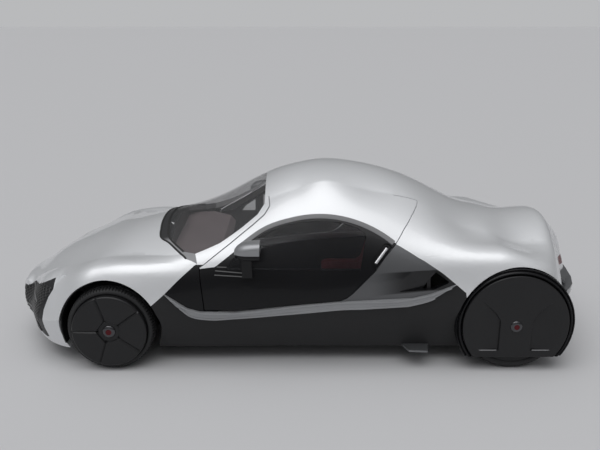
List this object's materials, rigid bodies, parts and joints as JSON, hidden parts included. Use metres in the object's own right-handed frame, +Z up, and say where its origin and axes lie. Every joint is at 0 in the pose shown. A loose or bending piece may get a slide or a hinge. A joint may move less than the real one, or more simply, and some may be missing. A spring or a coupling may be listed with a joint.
{
  "type": "two-seat coupe car",
  "caption": "Low teardrop two-seat coupe car with clamshell nose, wraparound tinted screen, swing doors, flush disc wheels and covered rear wheels.",
  "frame": {"origin": "on the floor, under the middle of the overall box", "axes": "+X towards the tail, +Y towards the car's right side, +Z up"},
  "size_m": [4.17, 1.838, 1.342],
  "materials": {
    "silver_paint": "gloss metallic",
    "black_gloss": "gloss",
    "dark_plastic": "satin",
    "mesh_black": "fine mesh",
    "grey_paint": "satin",
    "tinted_glass": "polished",
    "red_lens": "gloss",
    "clear_lens": "gloss",
    "steel": "satin",
    "wheel_black": "satin",
    "cap_silver": "brushed",
    "cabin_trim": "grained",
    "alloy": "cast",
    "seat_leather": "grained",
    "pad_rubber": "matte",
    "tyre_rubber": "matte"
  },
  "bodies": {
    "chassis": {"grille": "mesh_black", "front_clip": "silver_paint", "front_undertray": "dark_plastic", "rocker_tub": "dark_plastic", "sill_strips": "silver_paint", "outlet_panels": "black_gloss", "quarter_panels": "grey_paint", "diffuser": "dark_plastic", "rear_clip": "silver_paint", "roof_panel": "silver_paint", "cowl": "dark_plastic", "windscreen_frame": "silver_paint", "windscreen": "tinted_glass", "tail_lamps": "red_lens", "headlamps": "clear_lens", "front_subframe": "steel", "rear_beam": "steel", "wheel_liners": "dark_plastic", "rear_arch_rings": "dark_plastic", "rear_wheel_covers": "wheel_black", "rear_hub_caps": "cap_silver", "bulkheads": "dark_plastic", "dashboard": "cabin_trim", "console": "cabin_trim", "engine_block": "alloy", "seats": "seat_leather", "steering_wheel": "dark_plastic", "winglets": "silver_paint", "jack_pads": "pad_rubber", "tail_blades": "dark_plastic"},
    "door_left": {"door_band_left": "silver_paint", "door_panel_left": "black_gloss", "door_glass_left": "tinted_glass", "door_handle_left": "cap_silver", "door_mirror_left": "black_gloss"},
    "door_right": {"door_band_right": "silver_paint", "door_panel_right": "black_gloss", "door_glass_right": "tinted_glass", "door_handle_right": "cap_silver", "door_mirror_right": "black_gloss"},
    "knuckle_left": {"knuckle_left": "steel"},
    "knuckle_right": {"knuckle_right": "steel"},
    "wheel_front_left": {"front_wheel_left": "wheel_black", "front_tyre_left": "tyre_rubber"},
    "wheel_front_right": {"front_wheel_right": "wheel_black", "front_tyre_right": "tyre_rubber"},
    "wheel_rear_left": {"rear_wheel_left": "wheel_black", "rear_tyre_left": "tyre_rubber"},
    "wheel_rear_right": {"rear_wheel_right": "wheel_black", "rear_tyre_right": "tyre_rubber"}
  },
  "joints": [
    {"name": "door_left_hinge", "type": "hinge", "parent": "chassis", "child": "door_left", "pos_m": [-0.565, -0.715, 0.75], "axis": [0, 0, -1], "range_deg": [0, 60]},
    {"name": "steer_left", "type": "hinge", "parent": "chassis", "child": "knuckle_left", "pos_m": [-1.3, -0.6, 0.307], "axis": [0, 0, 1], "range_deg": [-30, 30]},
    {"name": "front_spin_left", "type": "hinge", "parent": "knuckle_left", "child": "wheel_front_left", "pos_m": [-1.3, -0.6825, 0.307], "axis": [0, 1, 0], "continuous": true},
    {"name": "rear_spin_left", "type": "hinge", "parent": "chassis", "child": "wheel_rear_left", "pos_m": [1.53, -0.67, 0.35], "axis": [0, 1, 0], "continuous": true},
    {"name": "door_right_hinge", "type": "hinge", "parent": "chassis", "child": "door_right", "pos_m": [-0.565, 0.715, 0.75], "axis": [0, 0, 1], "range_deg": [0, 60]},
    {"name": "steer_right", "type": "hinge", "parent": "chassis", "child": "knuckle_right", "pos_m": [-1.3, 0.6, 0.307], "axis": [0, 0, 1], "range_deg": [-30, 30]},
    {"name": "front_spin_right", "type": "hinge", "parent": "knuckle_right", "child": "wheel_front_right", "pos_m": [-1.3, 0.6825, 0.307], "axis": [0, 1, 0], "continuous": true},
    {"name": "rear_spin_right", "type": "hinge", "parent": "chassis", "child": "wheel_rear_right", "pos_m": [1.53, 0.67, 0.35], "axis": [0, 1, 0], "continuous": true}
  ],
  "couplings": [
    {"joint": "steer_right", "follows": "steer_left", "ratio": 1}
  ]
}
